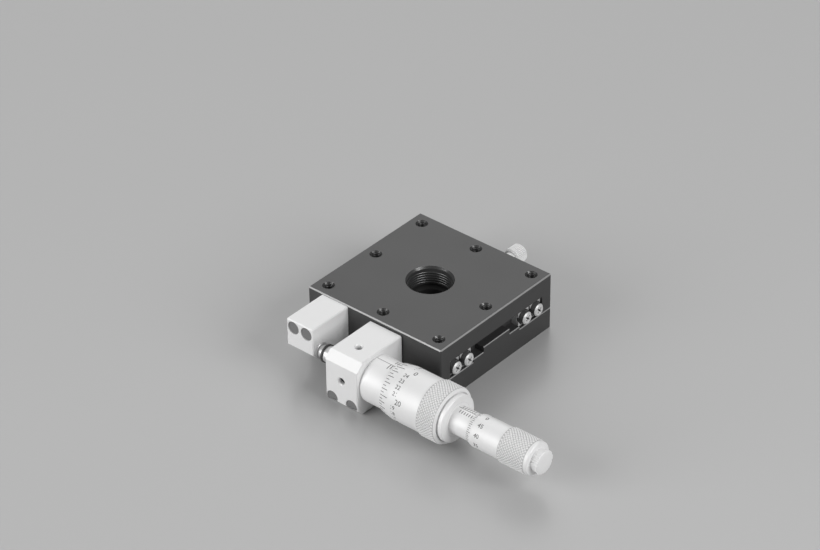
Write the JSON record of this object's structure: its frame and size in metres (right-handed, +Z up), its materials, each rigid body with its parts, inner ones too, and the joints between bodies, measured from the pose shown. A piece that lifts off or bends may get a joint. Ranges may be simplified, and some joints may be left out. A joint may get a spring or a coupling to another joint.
{
  "type": "linear stage",
  "caption": "Crossed-roller linear stage with a square drilled table, side-mounted differential micrometer with coarse and fine thimbles, and a knurled table clamp.",
  "frame": {"origin": "centre of the base's underside, in the mouth of the base's clear hole, table at mid travel", "axes": "+X along the travel towards the micrometer's fine knob, +Z up, -Y towards the micrometer"},
  "size_m": [0.1179, 0.0978, 0.023],
  "materials": {
    "black_anodised": "matte black anodised",
    "silver_satin": "bead-blasted satin",
    "micrometer_satin": "satin chrome plated",
    "bright_steel": "ground",
    "black_steel": "black oxide",
    "grey_plug": "matte",
    "black_ring": "matte",
    "brass": "turned",
    "spring_steel": "drawn wire"
  },
  "bodies": {
    "base": {"base_plate": "black_anodised", "inner_rail_front": "bright_steel", "inner_rail_back": "bright_steel", "inner_rail_screws": "black_steel", "inner_rail_end_screws": "bright_steel", "base_spring_post": "bright_steel", "return_spring": "spring_steel", "micrometer_bracket": "silver_satin", "bracket_screws": "black_steel", "bracket_plugs": "grey_plug", "bracket_set_screws": "black_steel", "barrel": "micrometer_satin", "barrel_nut": "brass", "spindle_key": "bright_steel", "lock_plate": "black_anodised", "lock_plate_screws": "black_steel"},
    "table": {"table_plate": "black_anodised", "outer_rail_front": "bright_steel", "outer_rail_back": "bright_steel", "outer_rail_screws": "black_steel", "outer_rail_end_screws": "bright_steel", "preload_screws": "black_steel", "table_spring_post": "bright_steel", "stop_pin": "bright_steel", "anvil_block": "silver_satin", "anvil_block_screws": "black_steel", "anvil_block_plugs": "grey_plug", "anvil": "bright_steel"},
    "roller_cages": {"cage_front": "brass", "cage_back": "brass", "rollers_front": "bright_steel", "rollers_back": "bright_steel"},
    "spindle": {"spindle": "bright_steel", "spindle_ring": "black_ring"},
    "coarse_thimble": {"coarse_thimble": "micrometer_satin", "coarse_screw": "bright_steel", "thimble_collar": "micrometer_satin", "fine_sleeve": "micrometer_satin", "backlash_spring": "spring_steel"},
    "fine_carriage": {"backlash_washer": "brass"},
    "fine_thimble": {"fine_thimble": "micrometer_satin", "fine_screw": "bright_steel", "end_button": "micrometer_satin"},
    "clamp_pad": {"clamp_pad": "brass"},
    "clamp_knob": {"clamp_screw": "bright_steel", "clamp_knob": "micrometer_satin"}
  },
  "joints": [
    {"name": "table_travel", "type": "slide", "parent": "base", "child": "table", "axis": [1, 0, 0], "range_m": [-0.0065, 0.0065], "deforming": ["return_spring"]},
    {"name": "cage_travel", "type": "slide", "parent": "base", "child": "roller_cages", "axis": [1, 0, 0], "range_m": [-0.00325, 0.00325]},
    {"name": "spindle_travel", "type": "slide", "parent": "base", "child": "spindle", "axis": [1, 0, 0], "range_m": [-0.0065, 0.0065]},
    {"name": "coarse_turn", "type": "hinge", "parent": "spindle", "child": "coarse_thimble", "pos_m": [0.03, -0.0442, 0.0121], "axis": [1, 0, 0], "range_deg": [-4680, 4680]},
    {"name": "fine_travel", "type": "slide", "parent": "coarse_thimble", "child": "fine_carriage", "axis": [1, 0, 0], "range_m": [-0.002, 0.002], "deforming": ["backlash_spring"]},
    {"name": "fine_turn", "type": "hinge", "parent": "fine_carriage", "child": "fine_thimble", "pos_m": [0.07, -0.0442, 0.0121], "axis": [1, 0, 0], "range_deg": [-1440, 1440]},
    {"name": "clamp_travel", "type": "slide", "parent": "base", "child": "clamp_pad", "axis": [0, -1, 0], "range_m": [-0.00029, 0.00021]},
    {"name": "clamp_turn", "type": "hinge", "parent": "clamp_pad", "child": "clamp_knob", "pos_m": [0.00575, 0.04, 0.0148], "axis": [0, -1, 0], "range_deg": [-150, 110]}
  ],
  "couplings": [
    {"joint": "spindle_travel", "follows": "table_travel", "ratio": 1},
    {"joint": "cage_travel", "follows": "table_travel", "ratio": 0.5},
    {"joint": "coarse_turn", "follows": "table_travel", "rad_per_m": 12566},
    {"joint": "fine_turn", "follows": "fine_travel", "rad_per_m": 12566},
    {"joint": "clamp_turn", "follows": "clamp_travel", "rad_per_m": 8976}
  ]
}
